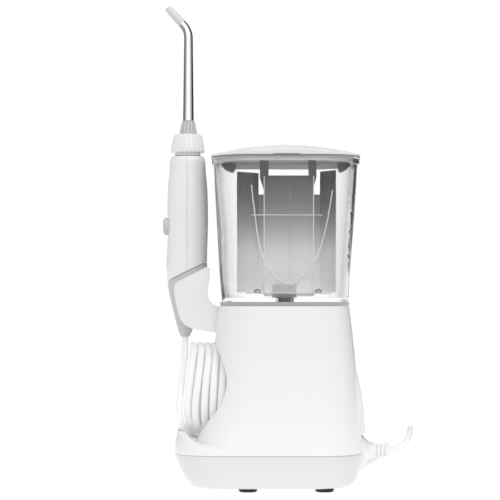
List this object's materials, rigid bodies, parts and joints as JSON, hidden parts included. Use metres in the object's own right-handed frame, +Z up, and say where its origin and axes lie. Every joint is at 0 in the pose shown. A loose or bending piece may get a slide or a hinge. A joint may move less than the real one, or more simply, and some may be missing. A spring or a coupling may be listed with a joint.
{
  "type": "countertop water flosser",
  "caption": "Countertop oral irrigator: pump base with hose pocket and tray, clear water reservoir with lid and tip case, and a hand piece with angled metal tip standing in a side cradle.",
  "frame": {"origin": "centre of the object's box at the surface it stands on, measured without the mains lead and hose nodes", "axes": "+Z up; -X towards the hand piece and hose; +X towards the mains lead; +Y towards the face with the dial and buttons"},
  "size_m": [0.1964, 0.1801, 0.373],
  "materials": {
    "white_gloss": "glossy injection moulded",
    "light_gray": "smooth semi-gloss",
    "mid_gray": "fine satin",
    "dark_gray": "satin",
    "clear": "clear moulded plastic",
    "smoke": "translucent gray moulded plastic",
    "chrome": "polished",
    "nozzle_white": "slightly translucent",
    "black_rubber": "matt",
    "gray_rubber": "matt",
    "white_hose": "smooth flexible hose",
    "white_cord": "smooth flexible cord",
    "steel": "plain",
    "brass": "bright",
    "pale_nylon": "natural nylon",
    "board_green": "circuit board",
    "tube_clear": "silicone"
  },
  "bodies": {
    "base": {"base_housing": "white_gloss", "bottom_cover": "white_gloss", "rubber_feet": "black_rubber", "cover_screws": "steel", "handle_cradle": "white_gloss", "inlet_gasket": "gray_rubber", "pump_frame": "pale_nylon", "gear_shaft": "steel", "motor": "steel", "pump_cylinder": "pale_nylon", "inlet_tube": "tube_clear", "outlet_tube": "tube_clear", "hose_hub": "white_gloss", "hose_grommet": "gray_rubber", "dial_bezel": "light_gray", "pressure_valve": "pale_nylon", "power_spring": "steel", "mode_spring": "steel", "control_board": "board_green", "strain_relief": "white_gloss", "mains_lead": "white_cord", "mains_lead_coil": "white_cord", "mains_lead_tail": "white_cord", "mains_plug": "white_gloss", "plug_blades": "brass", "hose": "white_hose", "hose_coil": "white_hose", "hose_start": "white_hose"},
    "handle": {"handle_front_shell": "white_gloss", "handle_rear_shell": "white_gloss", "handle_boot": "mid_gray", "hose_fitting": "pale_nylon", "tip_socket": "pale_nylon", "pause_valve": "pale_nylon", "pause_spring": "steel", "neck_ring": "gray_rubber"},
    "pause_button_body": {"pause_button": "mid_gray"},
    "collar": {"tip_collar": "white_gloss"},
    "tip": {"tip_cone": "mid_gray", "tip_tube": "chrome", "tip_nozzle": "nozzle_white"},
    "reservoir": {"tank": "clear", "tank_base_ring": "light_gray", "tank_valve_seat": "light_gray", "valve_cage": "light_gray", "valve_spring": "steel"},
    "poppet": {"valve_poppet": "light_gray"},
    "lid_body": {"lid": "light_gray", "lid_clips": "dark_gray", "case_hangers": "light_gray", "tip_case": "smoke"},
    "gear": {"drive_gear": "pale_nylon"},
    "pinion": {"motor_pinion": "brass"},
    "plunger": {"piston": "pale_nylon", "piston_seal": "black_rubber", "wrist_pin": "steel"},
    "rod": {"connecting_rod": "pale_nylon"},
    "dial": {"control_dial": "white_gloss"},
    "power_key": {"power_button": "light_gray"},
    "mode_key": {"mode_button": "light_gray"}
  },
  "joints": [
    {"name": "handle_lift", "type": "slide", "parent": "base", "child": "handle", "axis": [0, 0, 1], "range_m": [0, 0.06]},
    {"name": "pause_press", "type": "slide", "parent": "handle", "child": "pause_button_body", "axis": [1, 0, 0], "range_m": [0, 0.0012], "stiffness_N_per_m": 400, "deforming": ["pause_spring"]},
    {"name": "tip_turn", "type": "hinge", "parent": "handle", "child": "collar", "pos_m": [-0.05905, -0.0028, 0.265], "axis": [0, 0, 1], "continuous": true},
    {"name": "tip_pull", "type": "slide", "parent": "collar", "child": "tip", "axis": [0, 0, 1], "range_m": [0, 0.03]},
    {"name": "reservoir_lift", "type": "slide", "parent": "base", "child": "reservoir", "axis": [0, 0, 1], "range_m": [0, 0.05]},
    {"name": "lid_lift", "type": "slide", "parent": "reservoir", "child": "lid_body", "axis": [0, 0, 1], "range_m": [0, 0.115]},
    {"name": "poppet_lift", "type": "slide", "parent": "reservoir", "child": "poppet", "axis": [0, 0, 1], "range_m": [0, 0.0015], "stiffness_N_per_m": 200, "deforming": ["valve_spring"]},
    {"name": "gear_turn", "type": "hinge", "parent": "base", "child": "gear", "pos_m": [0.01035, -0.0028, 0.087], "axis": [0, 0, 1], "continuous": true},
    {"name": "pinion_turn", "type": "hinge", "parent": "base", "child": "pinion", "pos_m": [0.04035, -0.0028, 0.087], "axis": [0, 0, 1], "continuous": true},
    {"name": "piston_slide", "type": "slide", "parent": "base", "child": "plunger", "axis": [-1, 0, 0], "range_m": [0, 0.012]},
    {"name": "rod_swing", "type": "hinge", "parent": "plunger", "child": "rod", "pos_m": [0.03835, -0.0028, 0.1033], "axis": [0, 0, 1], "range_deg": [-16, 16]},
    {"name": "dial_turn", "type": "hinge", "parent": "base", "child": "dial", "pos_m": [0.01635, 0.0512, 0.095], "axis": [0, 1, 0], "range_deg": [-135, 135]},
    {"name": "power_press", "type": "slide", "parent": "base", "child": "power_key", "axis": [0, -1, 0], "range_m": [0, 0.0012], "stiffness_N_per_m": 400, "deforming": ["power_spring"]},
    {"name": "mode_press", "type": "slide", "parent": "base", "child": "mode_key", "axis": [0, -1, 0], "range_m": [0, 0.0012], "stiffness_N_per_m": 400, "deforming": ["mode_spring"]}
  ],
  "couplings": [
    {"joint": "pinion_turn", "follows": "gear_turn", "ratio": -5}
  ]
}
